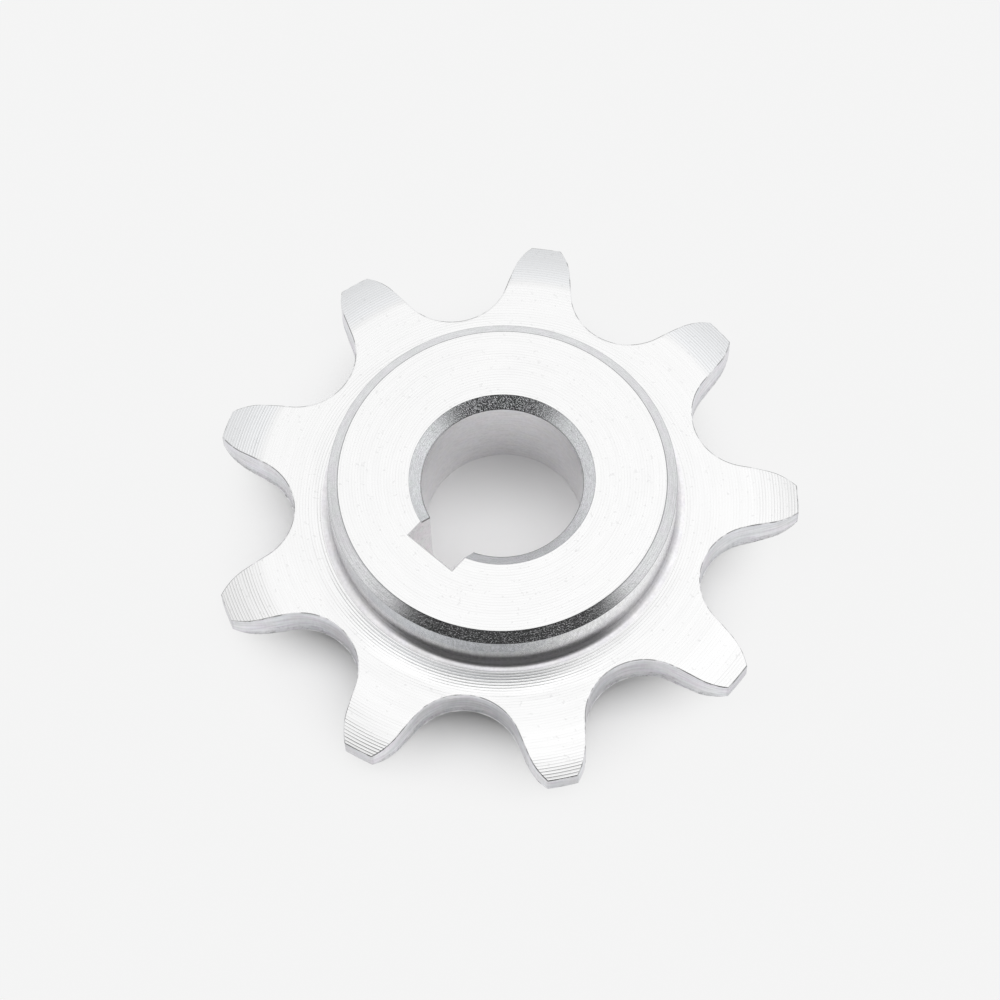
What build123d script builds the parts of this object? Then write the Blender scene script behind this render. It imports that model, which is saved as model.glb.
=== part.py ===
from build123d import *
import math
import os

# A nine-tooth sprocket for 1/2 x 1/8 inch roller chain, one piece of steel.
#
# Millimetres.  The origin is on the bore's axis, in the end face of the short rear boss.
# +Z runs along the bore towards the end face of the long hub, and the keyway opens towards -Y.

# Chain and teeth
chain_pitch = 12.7
tooth_count = 9
seat_radius = 4.08            # the round bottom of a tooth gap, centred on the pitch circle
seat_half_angle = 58.75       # degrees of that arc on each side of the gap's centre line
flank_length = 1.84           # the straight part of a tooth's side
topping_radius = 4.5          # the convex part, from the straight up to the tip
tip_rise = 1.91               # from the pitch circle to the tip circle
tooth_lead_angle = 13.0       # degrees from the keyway to the next tooth, counter-clockwise

# Toothed plate and the relief on both its sides
plate_thickness = 3.0
relief_width = 3.4            # along the radius, inwards from the tip circle
relief_depth = 0.74           # along the axis, at the tip circle
relief_radius = 12.7

# Long hub, above the plate
hub_diameter = 24.0
hub_height = 4.0
hub_chamfer_width = 0.75      # on the end face
hub_chamfer_height = 0.5      # on the round wall
hub_corner_radius = 0.6       # where the hub meets the plate

# Short boss, below the plate
boss_diameter = 24.0
boss_height = 1.0
boss_edge_chamfer = 0.25
boss_corner_radius = 0.4

# Bore and keyway
bore_diameter = 11.1
bore_chamfer_width = 0.85     # on the hub's end face
bore_chamfer_height = 0.65    # on the bore's wall
keyway_width = 4.0
keyway_depth = 1.8            # from the bore's wall to the keyway's floor

# How far a cutter runs past the surface that it cuts
cutter_overrun = 1.0

pitch_radius = chain_pitch / 2 / math.sin(math.pi / tooth_count)
tip_radius = pitch_radius + tip_rise
hub_radius = hub_diameter / 2
boss_radius = boss_diameter / 2
bore_radius = bore_diameter / 2

plate_bottom = boss_height
plate_top = plate_bottom + plate_thickness
hub_top = plate_top + hub_height

keyway_angle = -90.0
first_gap_angle = keyway_angle + tooth_lead_angle - 180.0 / tooth_count


def plate_section():
    """Half of the plate's section, radius across and height up, with its sides relieved."""
    relief_start = tip_radius - relief_width
    tip_top = plate_top - relief_depth
    tip_bottom = plate_bottom + relief_depth
    with BuildSketch() as section:
        with BuildLine():
            Polyline((relief_start, plate_bottom), (0, plate_bottom), (0, plate_top), (relief_start, plate_top))
            RadiusArc((relief_start, plate_top), (tip_radius, tip_top), relief_radius)
            Line((tip_radius, tip_top), (tip_radius, tip_bottom))
            RadiusArc((tip_radius, tip_bottom), (relief_start, plate_bottom), relief_radius)
        make_face()
    return section.sketch


def hub_section():
    """Half of the hub's section, with the chamfer round its end face."""
    return Polygon(
        (0, plate_bottom),
        (hub_radius, plate_bottom),
        (hub_radius, hub_top - hub_chamfer_height),
        (hub_radius - hub_chamfer_width, hub_top),
        (0, hub_top),
        align=None,
    )


def boss_section():
    """Half of the boss's section, with its edge broken."""
    return Polygon(
        (0, plate_top),
        (0, 0),
        (boss_radius - boss_edge_chamfer, 0),
        (boss_radius, boss_edge_chamfer),
        (boss_radius, plate_top),
        align=None,
    )


def corner(section, radius, height):
    """The section's corner at a radius and a height."""
    return section.vertices().sort_by_distance((radius, height, 0))[0]


def turned_blank():
    """The blank as it leaves the lathe, before the bore and the teeth."""
    section = plate_section() + hub_section() + boss_section()
    section = fillet(corner(section, hub_radius, plate_top), hub_corner_radius)
    section = fillet(corner(section, boss_radius, plate_bottom), boss_corner_radius)
    return revolve(Plane.XZ * section, Axis.Z)


def bore_cutter():
    """The round bore with the chamfer at the hub's end."""
    mouth_radius = bore_radius + bore_chamfer_width
    section = Polygon(
        (0, 0),
        (bore_radius, 0),
        (bore_radius, hub_top - bore_chamfer_height),
        (mouth_radius, hub_top),
        (0, hub_top),
        align=None,
    )
    return revolve(Plane.XZ * section, Axis.Z)


def keyway_cutter():
    """The square-cornered keyway, right through from end to end."""
    return Pos(0, 0, hub_top / 2) * Rot(0, 0, keyway_angle) * Box(
        bore_radius + keyway_depth,
        keyway_width,
        hub_top + 2 * cutter_overrun,
        align=(Align.MIN, Align.CENTER, Align.CENTER),
    )


def gap_outline():
    """One tooth gap seen along the axis, with its centre line along +X."""
    angle = math.radians(seat_half_angle)
    outside = tip_radius + cutter_overrun
    seat_ends = []
    mouth_ends = []
    with BuildLine() as outline:
        for side in (1, -1):
            along_flank = Vector(math.sin(angle), side * math.cos(angle))
            into_tooth = Vector(-math.cos(angle), side * math.sin(angle))
            seat_end = Vector(pitch_radius, 0) + into_tooth * seat_radius
            flank_end = seat_end + along_flank * flank_length
            topping_centre = flank_end + into_tooth * topping_radius
            topping_end = topping_centre + topping_centre.normalized() * topping_radius
            mouth_end = Vector(outside + topping_radius, topping_end.Y)
            Line(seat_end, flank_end)
            TangentArc(flank_end, topping_end, tangent=along_flank)
            Line(topping_end, mouth_end)
            seat_ends.append(seat_end)
            mouth_ends.append(mouth_end)
        ThreePointArc(seat_ends[0], (pitch_radius - seat_radius, 0), seat_ends[1])
        Line(mouth_ends[0], mouth_ends[1])
    return make_face(outline.line)


def gap_cutters():
    """All the tooth gaps, through the plate alone."""
    gap = extrude(gap_outline(), plate_thickness + 2 * cutter_overrun)
    first_gap = Pos(0, 0, plate_bottom - cutter_overrun) * gap
    return [Rot(0, 0, first_gap_angle + index * 360 / tooth_count) * first_gap for index in range(tooth_count)]


def sprocket():
    """The finished sprocket."""
    return turned_blank() - bore_cutter() - keyway_cutter() - gap_cutters()


os.makedirs("parts", exist_ok=True)
export_step(sprocket(), "parts/sprocket.step")
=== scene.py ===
"""Looks of the chain sprocket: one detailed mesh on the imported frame, a pale floor and soft studio light.

The mesh is worked out in millimetres in the part's own frame, and its points are scaled to metres.
"""
import math

import bmesh
import bpy
from mathutils import Matrix, Vector, noise


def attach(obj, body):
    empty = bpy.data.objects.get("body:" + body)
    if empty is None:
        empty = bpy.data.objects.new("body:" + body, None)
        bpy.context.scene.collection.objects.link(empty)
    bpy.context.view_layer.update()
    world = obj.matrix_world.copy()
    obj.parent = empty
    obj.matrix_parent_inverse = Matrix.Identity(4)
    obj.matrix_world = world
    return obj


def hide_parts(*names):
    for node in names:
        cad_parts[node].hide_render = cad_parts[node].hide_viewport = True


# One millimetre in metres; the lengths below are in millimetres unless a comment says otherwise
MM = 0.001

# Teeth, as in the part's source
CHAIN_PITCH = 12.7
TOOTH_COUNT = 9
SEAT_RADIUS = 4.08
SEAT_HALF_ANGLE = math.radians(58.75)
FLANK_LENGTH = 1.84
TOPPING_RADIUS = 4.5
TIP_RISE = 1.91
KEYWAY_ANGLE = math.radians(-90.0)
TOOTH_LEAD_ANGLE = math.radians(13.0)

# Heights
PLATE_BOTTOM = 1.0
PLATE_TOP = 4.0
HUB_TOP = 8.0

# Hub, boss, bore and keyway
HUB_RADIUS = 12.0
HUB_CHAMFER_WIDTH = 0.75
HUB_CHAMFER_HEIGHT = 0.5
HUB_CORNER_WIDTH = 0.6
HUB_CORNER_HEIGHT = 0.47
BOSS_RADIUS = 12.0
BOSS_EDGE_CHAMFER = 0.25
BOSS_CORNER_RADIUS = 0.4
BORE_RADIUS = 5.55
BORE_CHAMFER_WIDTH = 0.85
BORE_CHAMFER_HEIGHT = 0.65
KEYWAY_HALF_WIDTH = 2.0
KEYWAY_DEPTH = 1.8

# Relief on both sides of the teeth
RELIEF_WIDTH = 3.4
RELIEF_DEPTH = 0.74
RELIEF_RADIUS = 12.7

# Broken edges of the teeth and of the bore's foot; the teeth's have a middle row, which rounds them
EDGE_BREAK = 0.06
EDGE_MIDDLE = 0.3 * EDGE_BREAK
FOOT_BREAK = 0.06

# Burr at the foot of the teeth's walls, and how often it comes and goes in a millimetre
BURR_HEIGHT = 0.16
BURR_REACH = 0.06
BURR_SCALE = 2.6

# How finely the teeth's outline and the turned section are divided
SEAT_STEPS = 14
FLANK_STEPS = 4
TOPPING_STEPS = 10
LAND_STEPS = 4
RELIEF_STEPS = 10
HUB_CORNER_STEPS = 8
BOSS_CORNER_STEPS = 6
BORE_SHARES = (0.33, 0.67)
WALL_SHARES = (0.25, 0.5, 0.75)
PLATE_SHARES = (0.03, 0.34, 0.67)
# Extra rows keep a corner's smooth shading off the flat beside it: how far from the corner they are
FLAT_BESIDE_CHAMFER = 1.0
FLAT_BESIDE_CORNER = 0.1
# The one before the relief, as a share of the way there from the hub
SHARE_BESIDE_RELIEF = 0.96

# Angle above which an edge is shaded as sharp, and the distance in metres below which two points are one
SHARP_ANGLE = math.radians(28.0)
WELD_DISTANCE = 1e-8

PITCH_RADIUS = CHAIN_PITCH / 2 / math.sin(math.pi / TOOTH_COUNT)
TIP_RADIUS = PITCH_RADIUS + TIP_RISE
RELIEF_START = TIP_RADIUS - RELIEF_WIDTH
TOOTH_STEP = 2 * math.pi / TOOTH_COUNT
FIRST_GAP_ANGLE = KEYWAY_ANGLE + TOOTH_LEAD_ANGLE - TOOTH_STEP / 2
HUB_FACE_RADIUS = HUB_RADIUS - HUB_CHAMFER_WIDTH
HUB_FOOT_RADIUS = HUB_RADIUS + HUB_CORNER_WIDTH
BOSS_FOOT_RADIUS = BOSS_RADIUS + BOSS_CORNER_RADIUS
MOUTH_RADIUS = BORE_RADIUS + BORE_CHAMFER_WIDTH
KEYWAY_FLOOR = BORE_RADIUS + KEYWAY_DEPTH
# The bore's faces whose middle lies beyond this radius are the keyway's
KEYWAY_FROM = 1.002 * BORE_RADIUS

# Camera, aimed so that the middle of the plate's upper face shows this far right of the picture's middle and
# this far above it
CAMERA_AZIMUTH = math.radians(-46.2)
CAMERA_ELEVATION = math.radians(65.563)
CAMERA_ROLL = math.radians(-2.311)
CAMERA_DISTANCE = 265.35
CAMERA_LENS = 137.915
CAMERA_SENSOR = 36
MIDDLE_RIGHT = 0.212
MIDDLE_UP = -0.196
# The nearest and the farthest that it sees, in metres
CLIP_START = 0.01
CLIP_END = 20

# Fine turned lines on the faces, and grooves on the chamfers
LINE_PITCH = 0.2
GROOVE_PITCH = 0.13
GROOVE_DEPTH = 0.003
# Rings round the hub, each given by how far beyond the hub's wall it starts to fade and is gone
BESIDE_HUB_RING = (0.9, 2.1)
ROUND_HUB_RING = (1.0, 4.5)
# the last ring is where the plate beside the hub gets painted light
PAINTED_LIGHT_RING = (1.4, 2.7)

# Directions round the axis in which the finish differs from the rest, some of them by painted light or shade
DEEP_LINE_ANGLE = math.radians(-137.0)
SECOND_DEEP_ANGLE = math.radians(77.0)
SHALLOW_LINE_ANGLE = math.radians(16.0)
SMOOTH_RELIEF_ANGLE = math.radians(139.0)
LATE_LINE_ANGLE = math.radians(-56.0)
# Side on which the plate beside the hub gets painted light
PAINTED_LIGHT_ANGLE = math.radians(-54.0)
# Where the hub's chamfer mirrors the tent's opening; painted shade lies on both sides of it
DARK_ANGLE = math.radians(-46.0)
# Side on which the hub's wall gets painted shade high up
SHADED_WALL_ANGLE = math.radians(-74.0)
# In the late direction the lines of the relief only set in about this radius
LATE_LINE_RADIUS = 18.9

# Tent of light round the part, where level 1 renders as white. It is read as a ceiling one unit up, with
# places on it right of the zenith, behind it, or ahead of it, which is towards the camera.
TENT_LEVEL = 0.88
# Directions that rise less than this count as rising this much
LEAST_RISE = 0.02
# Glow on it: its level and middle, how far out it is half gone, and how steeply it falls off there
GLOW_LEVEL = 1.27
GLOW_RIGHT = 0.30
GLOW_BEHIND = 0.09
GLOW_REACH = 0.78
GLOW_FALL = 3.66
# Dark opening in it: how far ahead it sets in, and how far ahead its level turns into the far one
OPENING_START = (0.16, 0.75)
OPENING_CHANGE = (1.0, 8.0)
OPENING_LEVEL = 0.035
FAR_OPENING_LEVEL = 0.20
# Its sides: how far out each lies beside the zenith, how much further out a unit ahead, and how much is
# added to that in each unit beyond the first
OPENING_RIGHT_SIDE = (0.46, 0.82, 0.35)
OPENING_LEFT_SIDE = (0.61, 0.66, 1.1)
# Across its sides, most of the opening ends at a firm edge, and the rest fades out beyond
FIRM_EDGE = (-0.20, 0.15)
FIRM_SHARE = 0.65
FADING_EDGE = (0.15, 1.2)
# Dim skirts low down on both sides, between two distances from the zenith; none at some distance behind it
SKIRT_START = 1.4
SKIRT_END = 4.0
SKIRT_END_BEHIND = 2.0
RIGHT_SKIRT_LEVEL = 0.8
LEFT_SKIRT_LEVEL = 0.6

# Floor: paper under the part, which turns into the plain page between two radii round a shifted middle
FLOOR_SIZE = 6000.0
FLOOR_ALBEDO = 0.95
PAGE_COLOUR = (0.913, 0.913, 0.913)
PAGE_START = 12.0
PAGE_END = 20.0
PAGE_SHIFT_LEFT = 1.0
PAGE_SHIFT_AHEAD = 1.5
PAGE_SHARE = 0.96
# How far ahead the page grows dim in reflections, and by how much
DIM_START = 25.0
DIM_END = 60.0
DIM_SHARE = 0.9

# Lamps for the floor, in metres: size, and place right of the axis, behind it and above the floor
SOFTBOX = {"width": 4.4, "depth": 0.8, "right": 0.0, "behind": 0.3, "height": 1.0, "level": 2.0}
FRONT_LAMP = {"width": 1.2, "depth": 1.4, "right": 0.4, "behind": -0.4, "height": 1.0, "level": 0.85}
LEFT_LAMP = {"width": 0.8, "depth": 0.3, "right": -1.0, "behind": 0.0, "height": 0.3, "level": 2.56}

# Level directions of the scene, as the camera sees them
TOWARDS_CAMERA = Vector((math.cos(CAMERA_AZIMUTH), math.sin(CAMERA_AZIMUTH), 0))
TO_THE_RIGHT = Vector((-math.sin(CAMERA_AZIMUTH), math.cos(CAMERA_AZIMUTH), 0))


def turned_vector(angle):
    """The flat direction at an angle round the axis."""
    return Vector((math.cos(angle), math.sin(angle), 0))


def half_turn_wrap(angle):
    """The same angle between minus and plus half a turn."""
    return (angle + math.pi) % (2 * math.pi) - math.pi


def relief_drop(radius):
    """How far the side relief has dropped the face at a radius."""
    if radius <= RELIEF_START:
        return 0.0
    half_chord = math.hypot(RELIEF_WIDTH, RELIEF_DEPTH) / 2
    mid = Vector((RELIEF_START + RELIEF_WIDTH / 2, -RELIEF_DEPTH / 2))
    to_centre = Vector((-RELIEF_DEPTH, -RELIEF_WIDTH)).normalized()
    centre = mid + to_centre * math.sqrt(RELIEF_RADIUS ** 2 - half_chord ** 2)
    beyond_centre = min(radius, TIP_RADIUS) - centre.x
    return -(centre.y + math.sqrt(RELIEF_RADIUS ** 2 - beyond_centre ** 2))


def face_height(radius, side):
    """The height of the plate's upper (side 1) or lower (side -1) face."""
    if side > 0:
        return PLATE_TOP - relief_drop(radius)
    return PLATE_BOTTOM + relief_drop(radius)


def chamfer_height(radius):
    """The height of the bore's chamfer at a radius, or of its nearer end."""
    run = min(max((radius - BORE_RADIUS) / BORE_CHAMFER_WIDTH, 0), 1)
    return HUB_TOP - BORE_CHAMFER_HEIGHT * (1 - run)


def burr_size(point):
    """How large the burr is at a point of the outline, from 0 to 1; there is none on the tips."""
    size = 0.5 + 0.9 * noise.noise(Vector((point.x, point.y, 0)) * BURR_SCALE)
    return min(max(size, 0), 1) * min(max(TIP_RADIUS - point.length, 0), 1)


def arc_points(centre, radius, start, end, steps):
    """Points of an arc from one angle to another, without the first."""
    points = []
    for step in range(1, steps + 1):
        angle = start + (end - start) * step / steps
        points.append(centre + radius * Vector((math.cos(angle), math.sin(angle))))
    return points


def half_gap_outline():
    """Points from the bottom of a tooth gap to the tooth's tip land, with the gap's centre line on +X."""
    along = Vector((math.sin(SEAT_HALF_ANGLE), math.cos(SEAT_HALF_ANGLE)))
    into_tooth = Vector((-math.cos(SEAT_HALF_ANGLE), math.sin(SEAT_HALF_ANGLE)))
    seat_centre = Vector((PITCH_RADIUS, 0))
    points = [seat_centre + SEAT_RADIUS * Vector((-1, 0))]
    points += arc_points(seat_centre, SEAT_RADIUS, math.pi, math.pi - SEAT_HALF_ANGLE, SEAT_STEPS)

    seat_end = points[-1].copy()
    flank_end = seat_end + along * FLANK_LENGTH
    for step in range(1, FLANK_STEPS + 1):
        points.append(seat_end.lerp(flank_end, step / FLANK_STEPS))

    # the topping's arc runs up to the tip circle
    topping_centre = flank_end + into_tooth * TOPPING_RADIUS
    start = math.atan2(*(flank_end - topping_centre).yx)
    reach = topping_centre.length
    cosine = (TIP_RADIUS ** 2 - reach ** 2 - TOPPING_RADIUS ** 2) / (2 * reach * TOPPING_RADIUS)
    end = math.atan2(topping_centre.y, topping_centre.x) - math.acos(cosine)
    points += arc_points(topping_centre, TOPPING_RADIUS, start, end, TOPPING_STEPS)

    land_start = math.atan2(points[-1].y, points[-1].x)
    points += arc_points(Vector((0, 0)), TIP_RADIUS, land_start, TOOTH_STEP / 2, LAND_STEPS)
    return points


def tooth_outline():
    """The closed outline of the toothed plate, counter-clockwise."""
    half = half_gap_outline()
    gap = [Vector((point.x, -point.y)) for point in reversed(half[1:])] + half[:-1]
    outline = []
    for index in range(TOOTH_COUNT):
        turn = Matrix.Rotation(FIRST_GAP_ANGLE + index * TOOTH_STEP, 2)
        outline += [turn @ point for point in gap]
    return outline


def outward_normals(outline):
    """The outward direction at each point of a closed counter-clockwise outline."""
    normals = []
    for index, point in enumerate(outline):
        tangent = outline[(index + 1) % len(outline)] - outline[index - 1]
        normals.append(Vector((tangent.y, -tangent.x)).normalized())
    return normals


def bore_outline_radius(angle):
    """How far the bore's wall, or the keyway's, lies from the axis at an angle."""
    turn = abs(half_turn_wrap(angle - KEYWAY_ANGLE))
    if turn >= math.asin(KEYWAY_HALF_WIDTH / BORE_RADIUS):
        return BORE_RADIUS
    if turn > math.atan(KEYWAY_HALF_WIDTH / KEYWAY_FLOOR):
        return KEYWAY_HALF_WIDTH / math.sin(turn)
    return KEYWAY_FLOOR / math.cos(turn)


def bore_angles(outline):
    """The outline's angles, with the nearest ones moved onto the keyway's corners."""
    angles = [math.atan2(point.y, point.x) for point in outline]
    corner_turns = (
        math.asin(KEYWAY_HALF_WIDTH / BORE_RADIUS),
        math.asin(KEYWAY_HALF_WIDTH / MOUTH_RADIUS),
        math.atan(KEYWAY_HALF_WIDTH / KEYWAY_FLOOR),
    )
    for turn in corner_turns:
        for corner in (KEYWAY_ANGLE - turn, KEYWAY_ANGLE + turn):
            nearest = min(range(len(angles)), key=lambda index: abs(angles[index] - corner))
            angles[nearest] = corner
    return angles


def quarter_round(centre_radius, centre_height, width, height, start, steps):
    """A quarter-round corner of the turned section as (radius, height) pairs, from start in degrees."""
    points = []
    for step in range(steps + 1):
        angle = math.radians(start + 90 * step / steps)
        points.append((centre_radius + width * math.cos(angle), centre_height + height * math.sin(angle)))
    return points


class Shell:
    """Rows of points round the axis, joined into one closed skin."""

    def __init__(self, outline):
        self.outline = outline
        self.normals = outward_normals(outline)
        self.angles = [math.atan2(point.y, point.x) for point in outline]
        self.bore_angles = bore_angles(outline)
        self.rows = []
        self.materials = []
        self.sharp = []

    def add(self, row, material, sharp=False):
        """Adds a row; material is that of the band that leads up to it."""
        self.rows.append(row)
        self.materials.append(material)
        self.sharp.append(sharp)

    def circle(self, radius, height, material, sharp=False):
        """A round row about the axis."""
        row = [(radius * math.cos(angle), radius * math.sin(angle), height) for angle in self.angles]
        self.add(row, material, sharp)

    def bore_row(self, least_radius, height, material, sharp=False, outset=0.0):
        """A row on the bore and keyway walls, or on a circle where that is larger."""
        row = []
        for angle in self.bore_angles:
            radius = max(bore_outline_radius(angle) + outset, least_radius)
            row.append((radius * math.cos(angle), radius * math.sin(angle), height(radius)))
        self.add(row, material, sharp)

    def plate_row(self, inner_radius, share, outer_radius, side, material, sharp=False):
        """A row on the plate's face, a share of the way between two circles, inside the broken edge."""
        row = []
        for angle, point, normal in zip(self.angles, self.outline, self.normals):
            edge = point - normal * EDGE_BREAK
            near = min(inner_radius, edge.length)
            far = min(outer_radius, edge.length)
            radius = near + (far - near) * share
            # the row turns towards the edge's own angle as it goes out
            edge_turn = half_turn_wrap(math.atan2(edge.y, edge.x) - angle)
            way_out = max(radius - HUB_FOOT_RADIUS, 0) / (edge.length - HUB_FOOT_RADIUS)
            turned = angle + edge_turn * way_out
            row.append((radius * math.cos(turned), radius * math.sin(turned), face_height(radius, side)))
        self.add(row, material, sharp)

    def edge_row(self, inset, side, material):
        """A row on the teeth's broken edge, as far in from the outline as it is down from the face."""
        row = []
        for point, normal in zip(self.outline, self.normals):
            spot = point - normal * inset
            row.append((spot.x, spot.y, face_height(spot.length, side) - side * inset))
        self.add(row, material)

    def wall_row(self, share, material):
        """A row on the teeth's walls, a share of the way down."""
        row = []
        for point in self.outline:
            top = face_height(point.length, 1) - EDGE_BREAK
            bottom = face_height(point.length, -1) + EDGE_BREAK
            row.append((point.x, point.y, top + (bottom - top) * share))
        self.add(row, material)

    def burr_row(self, rise, reach, material):
        """A row on the burr at the foot of the walls, at a share of its height and reach."""
        row = []
        for point, normal in zip(self.outline, self.normals):
            size = burr_size(point)
            spot = point + normal * (BURR_REACH * reach * size)
            height = face_height(point.length, -1) + EDGE_BREAK + BURR_HEIGHT * rise * size
            row.append((spot.x, spot.y, height))
        self.add(row, material)


def add_bore(shell):
    """The bore and keyway, from their foot up to the hub's end face."""
    shell.bore_row(0, lambda radius: 0.0, "face", sharp=True, outset=FOOT_BREAK)
    shell.bore_row(0, lambda radius: FOOT_BREAK, "edge", sharp=True)
    for share in BORE_SHARES:
        shell.bore_row(0, lambda radius: share * chamfer_height(radius), "bore")
    shell.bore_row(0, chamfer_height, "bore", sharp=True)
    shell.bore_row(MOUTH_RADIUS, lambda radius: HUB_TOP, "bore_chamfer", sharp=True)


def add_hub(shell):
    """The hub's end face, chamfer and wall, and the round corner at its foot."""
    shell.circle(HUB_FACE_RADIUS - FLAT_BESIDE_CHAMFER, HUB_TOP, "face")
    shell.circle(HUB_FACE_RADIUS, HUB_TOP, "face", sharp=True)
    shell.circle(HUB_RADIUS, HUB_TOP - HUB_CHAMFER_HEIGHT, "hub_chamfer", sharp=True)
    corner_top = PLATE_TOP + HUB_CORNER_HEIGHT
    shell.circle(HUB_RADIUS, corner_top + FLAT_BESIDE_CORNER, "hub_wall")
    shell.circle(HUB_RADIUS, corner_top, "hub_wall")
    size = (HUB_CORNER_WIDTH, HUB_CORNER_HEIGHT)
    for radius, height in quarter_round(HUB_FOOT_RADIUS, corner_top, *size, 180, HUB_CORNER_STEPS)[1:]:
        shell.circle(radius, height, "corner")


def add_upper_face(shell):
    """The plate's upper face and its relief, out to the teeth's edge."""
    for share in (*PLATE_SHARES, SHARE_BESIDE_RELIEF, 1.0):
        shell.plate_row(HUB_FOOT_RADIUS, share, RELIEF_START, 1, "face")
    for step in range(1, RELIEF_STEPS + 1):
        at_edge = step == RELIEF_STEPS
        shell.plate_row(RELIEF_START, step / RELIEF_STEPS, TIP_RADIUS, 1, "face", sharp=at_edge)


def add_walls(shell):
    """The teeth's walls between their broken edges, with the burr at their foot."""
    shell.edge_row(EDGE_MIDDLE, 1, "edge")
    shell.wall_row(0.0, "edge")
    for share in WALL_SHARES:
        shell.wall_row(share, "flank")
    shell.burr_row(1.0, 0.0, "flank")
    shell.burr_row(0.4, 1.0, "edge")
    shell.edge_row(EDGE_MIDDLE, -1, "edge")


def add_back(shell):
    """The plate's lower face with its relief, and the boss."""
    shell.plate_row(RELIEF_START, 1.0, TIP_RADIUS, -1, "edge", sharp=True)
    for step in range(RELIEF_STEPS - 1, 0, -1):
        shell.plate_row(RELIEF_START, step / RELIEF_STEPS, TIP_RADIUS, -1, "face")
    shell.plate_row(BOSS_FOOT_RADIUS, 1.0, RELIEF_START, -1, "face", sharp=True)
    for share in reversed(PLATE_SHARES):
        shell.plate_row(BOSS_FOOT_RADIUS, share, RELIEF_START, -1, "face")
    corner_foot = PLATE_BOTTOM - BOSS_CORNER_RADIUS
    size = (BOSS_CORNER_RADIUS, BOSS_CORNER_RADIUS)
    for radius, height in quarter_round(BOSS_FOOT_RADIUS, corner_foot, *size, 90, BOSS_CORNER_STEPS):
        shell.circle(radius, height, "hub_wall")
    shell.circle(BOSS_RADIUS, BOSS_EDGE_CHAMFER, "hub_wall", sharp=True)
    shell.circle(BOSS_RADIUS - BOSS_EDGE_CHAMFER, 0, "hub_wall", sharp=True)


def skin(shell, materials):
    """One closed mesh through all the shell's rows; the first row also joins the last."""
    mesh = bpy.data.meshes.new("sprocket_skin")
    names = list(materials)
    for name in names:
        mesh.materials.append(materials[name])
    bm = bmesh.new()
    rows = [[bm.verts.new(Vector(point) * MM) for point in row] for row in shell.rows]
    columns = len(shell.outline)
    for index, row in enumerate(rows):
        before = rows[index - 1]
        for column in range(columns):
            after = (column + 1) % columns
            face = bm.faces.new((before[column], before[after], row[after], row[column]))
            material = shell.materials[index]
            if material == "bore" and face.calc_center_median().xy.length > KEYWAY_FROM * MM:
                material = "keyway"
            face.material_index = names.index(material)
            face.smooth = True
    for row, sharp in zip(rows, shell.sharp):
        if sharp:
            for column in range(columns):
                bm.edges.get((row[column], row[(column + 1) % columns])).smooth = False
    bmesh.ops.remove_doubles(bm, verts=bm.verts, dist=WELD_DISTANCE)
    bmesh.ops.dissolve_degenerate(bm, edges=bm.edges, dist=WELD_DISTANCE)
    for edge in bm.edges:
        if edge.calc_face_angle(0) > SHARP_ANGLE:
            edge.smooth = False
    bmesh.ops.recalc_face_normals(bm, faces=bm.faces)
    bm.to_mesh(mesh)
    bm.free()
    piece = bpy.data.objects.new("sprocket_skin", mesh)
    bpy.context.scene.collection.objects.link(piece)
    return piece


class Nodes:
    """Short names for the nodes of one tree."""

    def __init__(self, tree):
        self.tree = tree

    def add(self, kind, **settings):
        """A new node with its settings."""
        node = self.tree.nodes.new(kind)
        for name, value in settings.items():
            setattr(node, name, value)
        return node

    def feed(self, socket, value):
        """Gives a socket a link or a plain value."""
        if isinstance(value, bpy.types.NodeSocket):
            self.tree.links.new(value, socket)
        else:
            socket.default_value = value

    def math(self, operation, *values):
        """An operation on numbers."""
        node = self.add("ShaderNodeMath", operation=operation)
        for socket, value in zip(node.inputs, values):
            self.feed(socket, value)
        return node.outputs[0]

    def both(self, first, second):
        """Two masks multiplied: 1 only where both are."""
        return self.math("MULTIPLY", first, second)

    def total(self, start, *parts):
        """A start value and, for each part's (mask, amount), that amount more where the mask is 1."""
        for mask, amount in parts:
            start = self.math("MULTIPLY_ADD", mask, amount, start)
        return start

    def step(self, value, low, high, bottom=0.0, top=1.0):
        """A smooth step from bottom to top as value goes from low to high."""
        node = self.add("ShaderNodeMapRange", interpolation_type="SMOOTHSTEP")
        names = ("Value", "From Min", "From Max", "To Min", "To Max")
        for name, given in zip(names, (value, low, high, bottom, top)):
            self.feed(node.inputs[name], given)
        return node.outputs["Result"]

    def vector(self, operation, *values):
        """An operation on vectors."""
        node = self.add("ShaderNodeVectorMath", operation=operation)
        for socket, value in zip(node.inputs, values):
            self.feed(socket, value)
        return node.outputs["Value" if operation in ("DOT_PRODUCT", "LENGTH") else "Vector"]

    def scale(self, vector, factor):
        """A vector times a number."""
        node = self.add("ShaderNodeVectorMath", operation="SCALE")
        self.feed(node.inputs["Vector"], vector)
        self.feed(node.inputs["Scale"], factor)
        return node.outputs["Vector"]

    def noise(self, place, scale, detail, roughness):
        """Soft noise about 0.5."""
        node = self.add("ShaderNodeTexNoise")
        self.feed(node.inputs["Vector"], place)
        self.feed(node.inputs["Scale"], scale)
        self.feed(node.inputs["Detail"], detail)
        self.feed(node.inputs["Roughness"], roughness)
        return node.outputs["Fac"]

    def glow(self, kind, colour, strength=1.0):
        """A background or emission shader."""
        node = self.add(kind)
        self.feed(node.inputs["Color"], (*colour, 1))
        self.feed(node.inputs["Strength"], strength)
        return node.outputs[0]

    def mix(self, share, first, second):
        """The first shader, turning into the second as share goes from 0 to 1."""
        node = self.add("ShaderNodeMixShader")
        for socket, value in zip(node.inputs, (share, first, second)):
            self.feed(socket, value)
        return node.outputs[0]


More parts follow.
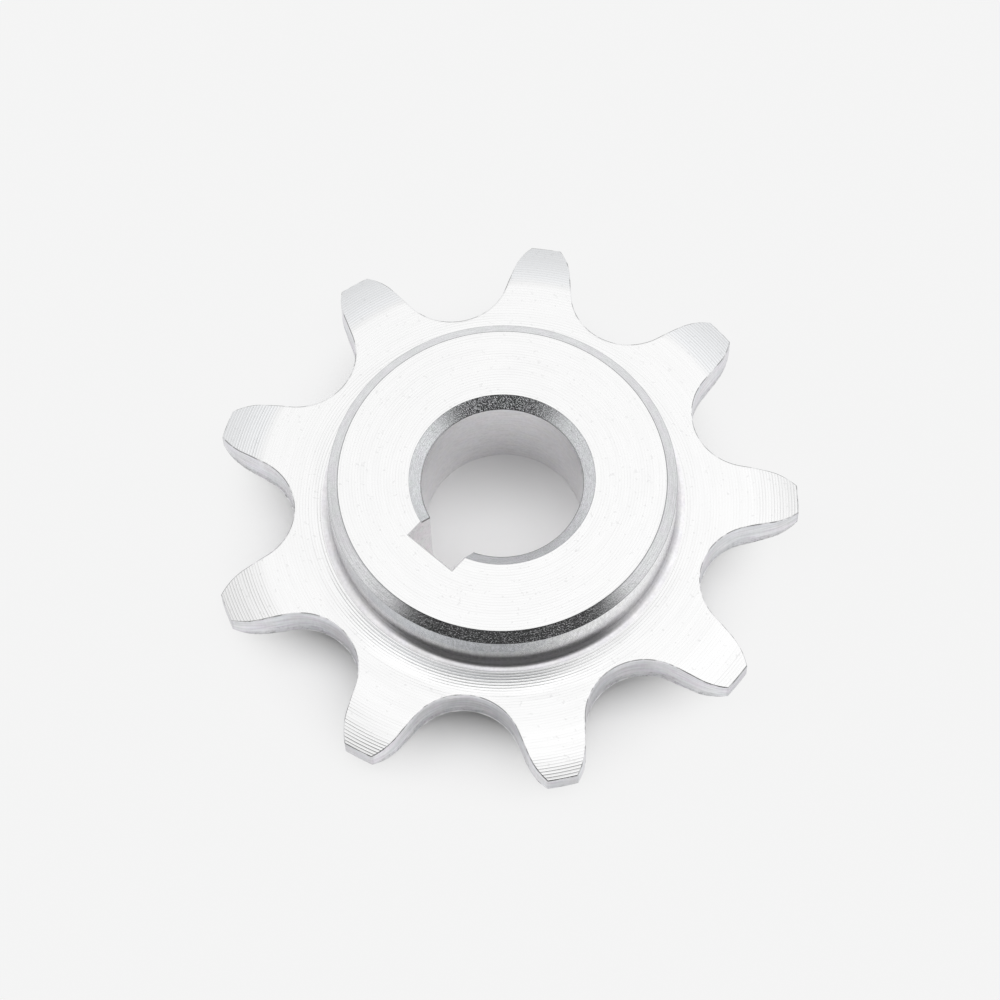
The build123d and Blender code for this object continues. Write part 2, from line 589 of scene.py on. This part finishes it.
def tent_glow(nodes, behind, across):
    """The tent's level with its glow, which falls off all round its middle."""
    right_of_glow = nodes.math("SUBTRACT", across, GLOW_RIGHT)
    behind_glow = nodes.math("SUBTRACT", behind, GLOW_BEHIND)
    squares = [nodes.math("MULTIPLY", way, way) for way in (right_of_glow, behind_glow)]
    distance = nodes.math("SQRT", nodes.math("ADD", *squares))
    fall = nodes.math("POWER", nodes.math("DIVIDE", distance, GLOW_REACH), GLOW_FALL)
    glow = nodes.math("DIVIDE", GLOW_LEVEL - TENT_LEVEL, nodes.math("ADD", fall, 1.0))
    return nodes.math("ADD", glow, TENT_LEVEL)


def tent_opening(nodes, ahead, across):
    """What the opening towards the camera leaves of the tent's level: 1 outside it."""
    far = nodes.math("MAXIMUM", nodes.math("SUBTRACT", ahead, 1.0), 0.0)
    outside = []
    for (start, widening, far_widening), way in ((OPENING_RIGHT_SIDE, 1.0), (OPENING_LEFT_SIDE, -1.0)):
        side = nodes.total(start, (ahead, widening), (far, far_widening))
        outside.append(nodes.math("SUBTRACT", nodes.math("MULTIPLY", across, way), side))
    beside = nodes.math("MAXIMUM", *outside)
    firm = nodes.step(beside, *FIRM_EDGE, FIRM_SHARE, 0.0)
    fading = nodes.step(beside, *FADING_EDGE, 1.0 - FIRM_SHARE, 0.0)
    opening = nodes.both(nodes.math("ADD", firm, fading), nodes.step(ahead, *OPENING_START))
    change = nodes.step(ahead, *OPENING_CHANGE, OPENING_LEVEL - 1.0, FAR_OPENING_LEVEL - 1.0)
    return nodes.total(1.0, (opening, change))


def tent_skirts(nodes, behind, across):
    """What the dim skirts on both sides leave of the tent's level: 1 elsewhere and behind the part."""
    right = nodes.step(across, SKIRT_START, SKIRT_END, 1.0, RIGHT_SKIRT_LEVEL)
    left = nodes.step(across, -SKIRT_END, -SKIRT_START, LEFT_SKIRT_LEVEL, 1.0)
    return nodes.math("MAXIMUM", nodes.both(right, left), nodes.step(behind, 0.0, SKIRT_END_BEHIND))


def make_world():
    """A white tent, brightest a little behind and right of the zenith, with a dark opening towards the
    camera; the camera itself sees the plain page instead."""
    world = bpy.data.worlds.new("studio")
    bpy.context.scene.world = world
    world.use_nodes = True
    nodes = Nodes(world.node_tree)
    direction = nodes.add("ShaderNodeTexCoord").outputs["Generated"]
    rise = nodes.math("MAXIMUM", nodes.vector("DOT_PRODUCT", direction, (0, 0, 1)), LEAST_RISE)
    behind = nodes.math("DIVIDE", nodes.vector("DOT_PRODUCT", direction, -TOWARDS_CAMERA), rise)
    across = nodes.math("DIVIDE", nodes.vector("DOT_PRODUCT", direction, TO_THE_RIGHT), rise)
    ahead = nodes.math("MULTIPLY", behind, -1.0)
    level = nodes.both(tent_glow(nodes, behind, across), tent_opening(nodes, ahead, across))
    level = nodes.both(level, tent_skirts(nodes, behind, across))
    light = nodes.glow("ShaderNodeBackground", (1, 1, 1), level)
    page = nodes.glow("ShaderNodeBackground", PAGE_COLOUR)
    seen = nodes.add("ShaderNodeLightPath").outputs["Is Camera Ray"]
    nodes.feed(world.node_tree.nodes["World Output"].inputs["Surface"], nodes.mix(seen, light, page))
    # the tent is for the metal to mirror; the lamps light the floor
    world.cycles_visibility.diffuse = False


def floor_lamp(name, width, depth, right, behind, height, level, facing_part=False):
    """A soft lamp for the floor, overhead or upright beside the part; the metal doesn't mirror it."""
    lamp = bpy.data.lights.new(name, "AREA")
    lamp.shape = "RECTANGLE"
    lamp.size = width
    lamp.size_y = depth
    # the power at which the lamp's face has the level
    lamp.energy = math.pi * width * depth * level
    holder = bpy.data.objects.new(name, lamp)
    holder.location = TO_THE_RIGHT * right - TOWARDS_CAMERA * behind + Vector((0, 0, height))
    holder.rotation_euler = (0, 0, math.atan2(TO_THE_RIGHT.y, TO_THE_RIGHT.x))
    if facing_part:
        inwards = -Vector((holder.location.x, holder.location.y, 0))
        holder.rotation_euler = inwards.to_track_quat("-Z", "Z").to_euler()
    holder.visible_camera = False
    holder.visible_glossy = False
    bpy.context.scene.collection.objects.link(holder)


def make_floor():
    """White paper under the part, which shows the plain page colour beyond the teeth."""
    bpy.ops.mesh.primitive_plane_add(size=FLOOR_SIZE * MM, location=(0, 0, 0))
    floor = bpy.context.object
    floor.name = "floor"
    material = bpy.data.materials.new("floor_paper")
    material.use_nodes = True
    tree = material.node_tree
    tree.nodes.remove(tree.nodes["Principled BSDF"])
    nodes = Nodes(tree)
    place = nodes.add("ShaderNodeTexCoord").outputs["Object"]
    path = nodes.add("ShaderNodeLightPath")
    paper = nodes.add("ShaderNodeBsdfDiffuse")
    nodes.feed(paper.inputs["Color"], (FLOOR_ALBEDO, FLOOR_ALBEDO, FLOOR_ALBEDO, 1))

    # in reflections the page grows dim towards the camera
    ahead = nodes.vector("DOT_PRODUCT", place, TOWARDS_CAMERA)
    dim = nodes.step(ahead, DIM_START * MM, DIM_END * MM, 0.0, DIM_SHARE)
    dim = nodes.both(dim, path.outputs["Is Glossy Ray"])
    page = nodes.glow("ShaderNodeEmission", PAGE_COLOUR, nodes.math("SUBTRACT", 1.0, dim))

    # the camera and reflections see the page; light that falls on the floor meets paper everywhere
    middle = TOWARDS_CAMERA * PAGE_SHIFT_AHEAD - TO_THE_RIGHT * PAGE_SHIFT_LEFT
    from_middle = nodes.vector("LENGTH", nodes.vector("SUBTRACT", place, middle * MM))
    beyond = nodes.step(from_middle, PAGE_START * MM, PAGE_END * MM, 0.0, PAGE_SHARE)
    seen = nodes.math("MAXIMUM", path.outputs["Is Camera Ray"], path.outputs["Is Glossy Ray"])
    surface = nodes.mix(nodes.both(seen, beyond), paper.outputs[0], page)
    nodes.feed(tree.nodes["Material Output"].inputs["Surface"], surface)
    floor.data.materials.append(material)


class Finish:
    """One metal material, built up from its base colour by shades, tints and fine relief."""

    def __init__(self, name, colour, roughness):
        self.material = bpy.data.materials.new(name)
        self.material.use_nodes = True
        self.nodes = Nodes(self.material.node_tree)
        self.shader = self.material.node_tree.nodes["Principled BSDF"]
        self.shader.inputs["Metallic"].default_value = 1
        self.shader.inputs["Roughness"].default_value = roughness
        self.colour = colour
        self.relief = 0.0
        nodes = self.nodes
        # the place on the part in millimetres, also split up; down is the keyway's direction
        place = nodes.add("ShaderNodeTexCoord").outputs["Object"]
        self.place = nodes.scale(place, 1 / MM)
        split = nodes.add("ShaderNodeSeparateXYZ")
        nodes.feed(split.inputs[0], self.place)
        self.side = split.outputs["X"]
        self.down = nodes.math("MULTIPLY", split.outputs["Y"], -1.0)
        self.height = split.outputs["Z"]
        # its radius, the direction outwards from the axis, and the angle in turns
        flat = nodes.vector("MULTIPLY", self.place, (1, 1, 0))
        self.radius = nodes.vector("LENGTH", flat)
        self.outwards = nodes.vector("NORMALIZE", flat)
        angle = nodes.math("ARCTAN2", split.outputs["Y"], split.outputs["X"])
        self.turn = nodes.math("DIVIDE", angle, 2 * math.pi)

    def towards(self, angle, start, end=1.0):
        """1 in one direction round the axis, fading on both sides: 0 where the cosine of the angle off it
        is start or less, 1 where it is end or more."""
        facing = self.nodes.vector("DOT_PRODUCT", self.outwards, turned_vector(angle))
        return self.nodes.step(facing, start, end)

    def border(self, along, place, width):
        """1 on a thin line at a place along a surface, fading to 0."""
        away = self.nodes.math("ABSOLUTE", self.nodes.math("SUBTRACT", along, place))
        return self.nodes.step(away, 0.3 * width, width, 1.0, 0.0)

    def grain(self, density, detail=2.0, stretch=(1, 1, 1)):
        """Noise in all directions, density marks to a millimetre."""
        place = self.nodes.vector("MULTIPLY", self.place, stretch)
        return self.nodes.noise(place, density, detail, 0.6)

    def streaks(self, along, run, density, detail=1.0):
        """Noise drawn out round the axis: run marks to a radian, density to a millimetre across them."""
        across = self.nodes.add("ShaderNodeCombineXYZ")
        self.nodes.feed(across.inputs["Z"], self.nodes.math("MULTIPLY", along, density))
        place = self.nodes.vector("ADD", self.nodes.scale(self.outwards, run), across.outputs[0])
        return self.nodes.noise(place, 1.0, detail, 0.5)

    def lines(self, along, pitch):
        """A fine turned spiral, from 0 between its crests to 1 on them, and weaker on some stretches."""
        nodes = self.nodes
        turns = nodes.math("ADD", nodes.math("DIVIDE", along, pitch), self.turn)
        wave = nodes.math("SINE", nodes.math("MULTIPLY", turns, math.pi))
        crest = nodes.math("SUBTRACT", 1.0, nodes.math("ABSOLUTE", wave))
        strength = nodes.step(self.streaks(along, 2.5, 0.6 / pitch), 0.25, 0.7, 0.35, 1.0)
        return nodes.both(nodes.both(crest, crest), strength)

    def contrast(self, noise):
        """Noise stretched over the whole range from 0 to 1."""
        return self.nodes.step(noise, 0.33, 0.67)

    def darken(self, mask, amount=1.0):
        """Takes a share of the colour away where mask is 1."""
        self.colour = self.nodes.scale(self.colour, self.nodes.total(1.0, (mask, -amount)))

    def tint(self, mask, change):
        """Adds a change of colour where mask is 1."""
        self.colour = self.nodes.vector("MULTIPLY_ADD", mask, change, self.colour)

    def mottle(self, density, change):
        """Drifts the colour both ways in soft patches, density patches to a millimetre."""
        self.tint(self.nodes.math("SUBTRACT", self.grain(density, 1.0), 0.5), change)

    def raise_by(self, mask, height):
        """Adds relief, height in millimetres where mask is 1."""
        self.relief = self.nodes.total(self.relief, (mask, height))

    def roughen(self, noise, least, most):
        """Lets the roughness follow a noise."""
        self.nodes.feed(self.shader.inputs["Roughness"], self.nodes.step(noise, 0.3, 0.7, least, most))

    def done(self):
        """The material, with the colour and relief so far."""
        nodes = self.nodes
        nodes.feed(self.shader.inputs["Base Color"], self.colour)
        bump = nodes.add("ShaderNodeBump")
        bump.inputs["Strength"].default_value = 1
        bump.inputs["Distance"].default_value = MM
        nodes.feed(bump.inputs["Height"], self.relief)
        nodes.feed(self.shader.inputs["Normal"], bump.outputs[0])
        return self.material


def relief_line_depth(finish):
    """How deep the lines on the teeth's relief are, all round, against a usual depth of 1."""
    # in the late direction they are almost gone up to the late radius, and nearly whole beyond it
    late = finish.nodes.step(finish.radius, LATE_LINE_RADIUS - 0.8, LATE_LINE_RADIUS + 1.0, -0.8, -0.12)
    return finish.nodes.total(
        0.9,
        (finish.towards(LATE_LINE_ANGLE, 0.4, 0.85), late),
        (finish.towards(DEEP_LINE_ANGLE, 0.2), 1.7),
        (finish.towards(SECOND_DEEP_ANGLE, 0.85), 0.7),
        (finish.towards(SHALLOW_LINE_ANGLE, 0.92), -0.6),
        (finish.towards(SMOOTH_RELIEF_ANGLE, 0.5), -0.42),
    )


def keyway_mouth(finish):
    """1 on a thin line round the mouth of the keyway."""
    nodes = finish.nodes
    beside = nodes.math("SUBTRACT", nodes.math("ABSOLUTE", finish.side), KEYWAY_HALF_WIDTH)
    past_floor = nodes.math("SUBTRACT", finish.down, KEYWAY_FLOOR)
    rim = finish.border(nodes.math("MAXIMUM", beside, past_floor), 0.0, 0.09)
    past_bore = nodes.step(finish.down, 5.0, 5.8)
    return nodes.both(rim, past_bore)


def turned_face():
    """The flat faces and the teeth's relief: bright, with fine turned lines, which are deeper beside the
    hub and on the relief."""
    finish = Finish("turned_face", (0.812, 0.812, 0.812), 0.2)
    nodes = finish.nodes
    beyond_hub = nodes.math("SUBTRACT", finish.radius, HUB_RADIUS)

    # on the plate: two rings of deeper lines round the hub, fainter on one side, and on another side a ring
    # of painted light, a brighter colour that stands in for light the plate scatters there
    on_plate = nodes.step(beyond_hub, 0.0, 0.4)
    ringed = nodes.both(on_plate, nodes.total(1.0, (finish.towards(SHALLOW_LINE_ANGLE, 0.2, 1.05), -0.7)))
    beside_hub = nodes.both(nodes.step(beyond_hub, *BESIDE_HUB_RING, 1.0, 0.0), ringed)
    round_hub = nodes.both(nodes.step(beyond_hub, *ROUND_HUB_RING, 1.0, 0.0), ringed)
    painted_light = nodes.both(nodes.step(beyond_hub, *PAINTED_LIGHT_RING, 1.0, 0.0), on_plate)
    painted_light = nodes.both(painted_light, finish.towards(PAINTED_LIGHT_ANGLE, 0.72, 0.95))
    # painted light: the ring's colour is brightened
    finish.tint(painted_light, (0.15, 0.15, 0.15))

    # on the relief: lines whose depth changes round the axis, and a cooler tint on one side
    on_relief = nodes.step(finish.radius, RELIEF_START, RELIEF_START + 0.8)
    lined = nodes.both(on_relief, relief_line_depth(finish))
    cool = nodes.both(on_relief, finish.towards(SMOOTH_RELIEF_ANGLE, -0.2, 0.6))
    finish.tint(cool, (-0.009, 0.0, 0.012))

    # the lines' height in millimetres, and the share by which they darken the metal
    lines = finish.lines(finish.radius, LINE_PITCH)
    finish.raise_by(lines, nodes.total(
        0.0050,
        (lined, 0.0088),
        (beside_hub, 0.0015),
        (round_hub, 0.0035),
        (on_plate, -0.0018),
        (painted_light, -0.0015),
    ))
    shade = nodes.total(0.04, (lined, 0.02), (beside_hub, 0.09), (painted_light, 0.13))
    finish.darken(nodes.both(lines, shade))
    finish.darken(keyway_mouth(finish), 0.42)
    finish.darken(nodes.step(finish.grain(3.2, 1.0), 0.66, 0.74), 0.08)
    finish.darken(finish.streaks(finish.radius, 5.0, 1.5), 0.02)
    finish.roughen(finish.streaks(finish.radius, 4.0, 3.0), 0.17, 0.25)
    return finish


def chamfer(name, colour, ends, fineness, sparkle):
    """A chamfer with fine grooves, a sparkling grain, and thin dark borders at the radii where it ends."""
    finish = Finish(name, colour, 0.2)
    grooves = finish.lines(finish.radius, GROOVE_PITCH)
    finish.raise_by(grooves, GROOVE_DEPTH)
    finish.raise_by(finish.grain(fineness), sparkle)
    finish.raise_by(finish.nodes.step(finish.grain(0.9 * fineness), 0.54, 0.70), sparkle)
    finish.darken(finish.contrast(finish.streaks(finish.radius, 14.0, 9.0)), 0.09)
    finish.darken(finish.contrast(finish.grain(9.0)), 0.09)
    finish.darken(grooves, 0.14)
    finish.mottle(1.5, (0.03, -0.03, 0.03))
    inner, outer = ends
    finish.darken(finish.border(finish.radius, inner, 0.09), 0.55)
    finish.darken(finish.border(finish.radius, outer, 0.07), 0.25)
    return finish


def bore_chamfer():
    """The chamfer at the bore's mouth."""
    ends = (BORE_RADIUS, MOUTH_RADIUS)
    return chamfer("bore_chamfer", (0.95, 0.965, 0.985), ends, fineness=16.0, sparkle=0.013)


def hub_chamfer():
    """The hub's chamfer, with painted shade on both sides of where it mirrors the tent's opening, which
    widens that dark reflection.
    """
    ends = (HUB_FACE_RADIUS, HUB_RADIUS)
    finish = chamfer("hub_chamfer", (0.89, 0.895, 0.91), ends, fineness=12.0, sparkle=0.0055)
    near_dark = finish.towards(DARK_ANGLE, 0.71, 0.86)
    in_dark = finish.towards(DARK_ANGLE, 0.90, 0.98)
    # painted shade in a band on both sides of the dark reflection
    finish.darken(finish.nodes.both(near_dark, finish.nodes.math("SUBTRACT", 1.0, in_dark)), 0.36)
    return finish


def turned_wall(name, colour, roughness, pitch, depth, shade):
    """An upright turned wall with rings, drawn-out streaks and grain, each darkening it by the shade."""
    finish = Finish(name, colour, roughness)
    rings = finish.lines(finish.height, pitch)
    finish.raise_by(rings, depth)
    finish.raise_by(finish.grain(7.0), 0.5 * depth)
    finish.darken(rings, shade)
    finish.darken(finish.contrast(finish.streaks(finish.height, 7.0, 5.0, 3.0)), shade)
    finish.darken(finish.contrast(finish.grain(5.0, 3.0)), shade)
    finish.mottle(0.9, (0.03, -0.01, 0.01))
    finish.mottle(1.3, (0.01, 0.01, -0.05))
    return finish


def bore_wall():
    """The bore's wall."""
    colour = (0.985, 0.975, 0.99)
    return turned_wall("bore_wall", colour, roughness=0.3, pitch=0.12, depth=0.003, shade=0.07)


def hub_corner():
    """The round corner between the hub and the plate."""
    colour = (0.90, 0.89, 0.91)
    return turned_wall("hub_corner", colour, roughness=0.33, pitch=0.12, depth=0.002, shade=0.10)


def hub_wall():
    """The hub's wall, brushed upright here and there, with painted shade, a little blue, high up on one
    side.
    """
    colour = (0.98, 0.98, 0.985)
    finish = turned_wall("hub_wall", colour, roughness=0.2, pitch=0.2, depth=0.002, shade=0.05)
    brushed = finish.contrast(finish.grain(5.0, 3.0, stretch=(1, 1, 0.3)))
    finish.raise_by(brushed, 0.005)
    finish.darken(brushed, 0.16)
    # painted shade: the wall is darker and a little blue high up on one side
    high_up = finish.nodes.step(finish.height, 5.3, 6.3)
    painted_shade = finish.nodes.both(finish.towards(SHADED_WALL_ANGLE, 0.55), high_up)
    finish.darken(painted_shade, 0.38)
    finish.tint(painted_shade, (-0.015, 0.0, 0.02))
    return finish


def tooth_flank():
    """The teeth's walls: streaked along, smoother above a wavy line, torn and darker below it."""
    finish = Finish("tooth_flank", (0.89, 0.895, 0.92), 0.35)
    nodes = finish.nodes
    torn = nodes.step(nodes.total(finish.height, (finish.grain(0.9), 1.4)), 2.2, 2.8, 1.0, 0.0)
    along = finish.contrast(finish.grain(4.5, stretch=(0.1, 0.1, 1)))
    upright = finish.contrast(finish.grain(4.5, 3.0, stretch=(1, 1, 0.2)))
    finish.darken(torn, 0.10)
    finish.darken(nodes.step(finish.radius, TIP_RADIUS - 0.15, TIP_RADIUS - 0.03), 0.15)
    finish.darken(along, 0.19)
    finish.darken(upright, 0.07)
    finish.darken(nodes.both(nodes.step(finish.grain(4.0, 3.0), 0.52, 0.66), torn), 0.25)
    pink = nodes.step(finish.grain(2.2, stretch=(0.25, 0.25, 1)), 0.5, 0.62)
    finish.tint(pink, (0.0, -0.025, 0.0))
    finish.mottle(1.0, (0.05, -0.01, 0.02))
    finish.mottle(0.7, (-0.03, 0.0, 0.04))
    finish.raise_by(along, 0.006)
    finish.raise_by(upright, 0.005)
    finish.raise_by(nodes.both(finish.grain(6.0, 3.0), torn), 0.04)
    finish.roughen(torn, 0.33, 0.42)
    return finish


def keyway_wall():
    """The keyway's broached walls, rough and a little pink, with a dark burr on top where they cross the
    bore's chamfer."""
    finish = Finish("keyway_wall", (0.96, 0.94, 0.955), 0.38)
    nodes = finish.nodes
    finish.raise_by(finish.grain(5.0, 3.0, stretch=(1, 1, 0.35)), 0.04)
    finish.darken(finish.contrast(finish.grain(4.0, 3.0)), 0.1)
    finish.darken(nodes.step(finish.grain(5.5, stretch=(1, 1, 0.5)), 0.58, 0.68), 0.12)
    finish.mottle(1.2, (0.10, -0.03, 0.05))
    into_chamfer = nodes.math("SUBTRACT", MOUTH_RADIUS, finish.radius)
    slope = BORE_CHAMFER_HEIGHT / BORE_CHAMFER_WIDTH
    top = nodes.total(HUB_TOP, (nodes.math("MAXIMUM", into_chamfer, 0.0), -slope))
    below_top = nodes.math("SUBTRACT", top, finish.height)
    burr = nodes.both(nodes.step(below_top, 0.14, 0.32, 1.0, 0.0), nodes.step(into_chamfer, 0.0, 0.15))
    finish.darken(burr, 0.85)
    return finish


def tooth_edge():
    """The teeth's broken edges: dark here and there, and less so at the foot."""
    finish = Finish("tooth_edge", (0.85, 0.85, 0.86), 0.35)
    finish.raise_by(finish.grain(5.0), 0.02)
    foot = finish.nodes.step(finish.height, 1.8, 2.6, 0.1, 0.0)
    patches = finish.nodes.math("SUBTRACT", finish.grain(0.9, 4.0), foot)
    finish.darken(finish.nodes.step(patches, 0.42, 0.56), 0.58)
    return finish


def make_camera():
    """The camera, ahead of the part and high above it."""
    back = Vector((
        math.cos(CAMERA_ELEVATION) * math.cos(CAMERA_AZIMUTH),
        math.cos(CAMERA_ELEVATION) * math.sin(CAMERA_AZIMUTH),
        math.sin(CAMERA_ELEVATION),
    ))
    level_up = back.cross(TO_THE_RIGHT)
    right = TO_THE_RIGHT * math.cos(CAMERA_ROLL) + level_up * math.sin(CAMERA_ROLL)
    up = level_up * math.cos(CAMERA_ROLL) - TO_THE_RIGHT * math.sin(CAMERA_ROLL)
    target = Vector((0, 0, PLATE_TOP))
    spot = (target + back * CAMERA_DISTANCE - right * MIDDLE_RIGHT - up * MIDDLE_UP) * MM
    data = bpy.data.cameras.new("camera")
    data.lens = CAMERA_LENS
    data.sensor_width = CAMERA_SENSOR
    data.clip_start = CLIP_START
    data.clip_end = CLIP_END
    camera = bpy.data.objects.new("camera", data)
    bpy.context.scene.collection.objects.link(camera)
    camera.matrix_world = Matrix((
        (right.x, up.x, back.x, spot.x),
        (right.y, up.y, back.y, spot.y),
        (right.z, up.z, back.z, spot.z),
        (0, 0, 0, 1),
    ))
    bpy.context.scene.camera = camera


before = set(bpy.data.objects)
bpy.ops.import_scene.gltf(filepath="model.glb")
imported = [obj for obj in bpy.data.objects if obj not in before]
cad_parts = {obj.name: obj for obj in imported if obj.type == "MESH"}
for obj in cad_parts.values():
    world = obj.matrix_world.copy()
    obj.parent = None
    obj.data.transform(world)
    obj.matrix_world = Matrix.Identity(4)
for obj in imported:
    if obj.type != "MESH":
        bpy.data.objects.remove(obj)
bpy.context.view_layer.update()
bpy.context.scene.view_settings.view_transform = "Standard"
make_camera()
make_world()
floor_lamp("softbox", **SOFTBOX)
floor_lamp("front_lamp", **FRONT_LAMP)
floor_lamp("left_lamp", **LEFT_LAMP, facing_part=True)
make_floor()
finishes = {
    "face": turned_face(),
    "bore": bore_wall(),
    "keyway": keyway_wall(),
    "bore_chamfer": bore_chamfer(),
    "hub_chamfer": hub_chamfer(),
    "hub_wall": hub_wall(),
    "corner": hub_corner(),
    "edge": tooth_edge(),
    "flank": tooth_flank(),
}
materials = {name: finish.done() for name, finish in finishes.items()}
shell = Shell(tooth_outline())
add_bore(shell)
add_hub(shell)
add_upper_face(shell)
add_walls(shell)
add_back(shell)
sprocket = skin(shell, materials)
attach(sprocket, "root")
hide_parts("sprocket")
